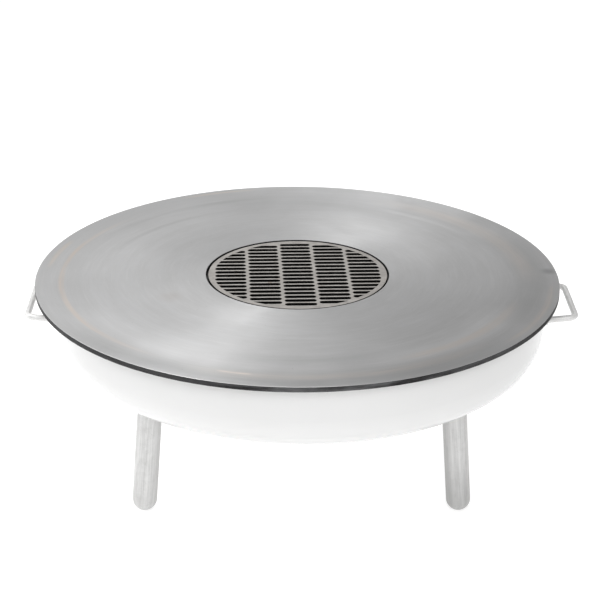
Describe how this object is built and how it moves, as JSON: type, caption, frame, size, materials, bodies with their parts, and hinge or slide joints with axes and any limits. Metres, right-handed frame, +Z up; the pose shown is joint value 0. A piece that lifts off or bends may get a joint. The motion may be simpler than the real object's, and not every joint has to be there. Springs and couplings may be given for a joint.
{
  "type": "fire pit with hot plate and grate",
  "caption": "Round fire bowl on splayed round legs with two bar handles, a loose flat ring-shaped hot plate on its rim and a slotted round grill grate set in the plate's centre.",
  "frame": {"origin": "on the ground, on the axis of the bowl", "axes": "+Z up; +X through the right handle; -Y is the front, with two legs; the third leg stands at +Y"},
  "size_m": [1.0522, 1, 0.417],
  "materials": {
    "white_enamel": "gloss white enamel",
    "galvanised_steel": "matt galvanised, faint vertical streaks",
    "handle_steel": "satin",
    "plate_steel": "bare rolled steel with faint circular grinding and heat tint",
    "raw_steel": "bare steel, mill finish",
    "grate_steel": "bare steel, laser cut",
    "zinc_hardware": "zinc plated",
    "gasket_fibre": "matt fibre"
  },
  "bodies": {
    "root": {"bowl": "white_enamel", "leg_front_right": "galvanised_steel", "leg_rear": "galvanised_steel", "leg_front_left": "galvanised_steel", "foot_cap_front_right": "galvanised_steel", "foot_cap_rear": "galvanised_steel", "foot_cap_front_left": "galvanised_steel", "leg_plug_front_right": "galvanised_steel", "leg_plug_rear": "galvanised_steel", "leg_plug_front_left": "galvanised_steel", "leg_gaskets": "gasket_fibre", "leg_washers": "zinc_hardware", "leg_bolts": "zinc_hardware", "handle_right": "handle_steel", "handle_left": "handle_steel", "handle_collars": "handle_steel", "handle_saddle_washers": "zinc_hardware", "handle_nuts": "zinc_hardware"},
    "plate": {"fire_plate": "plate_steel", "grate_seat_ring": "raw_steel", "plate_lugs": "raw_steel"},
    "grate": {"grill_grate": "grate_steel"}
  },
  "joints": [
    {"name": "plate_lift", "type": "slide", "parent": "root", "child": "plate", "axis": [0, 0, 1], "range_m": [0, 0.3]},
    {"name": "grate_lift", "type": "slide", "parent": "plate", "child": "grate", "axis": [0, 0, 1], "range_m": [0, 0.2]}
  ]
}
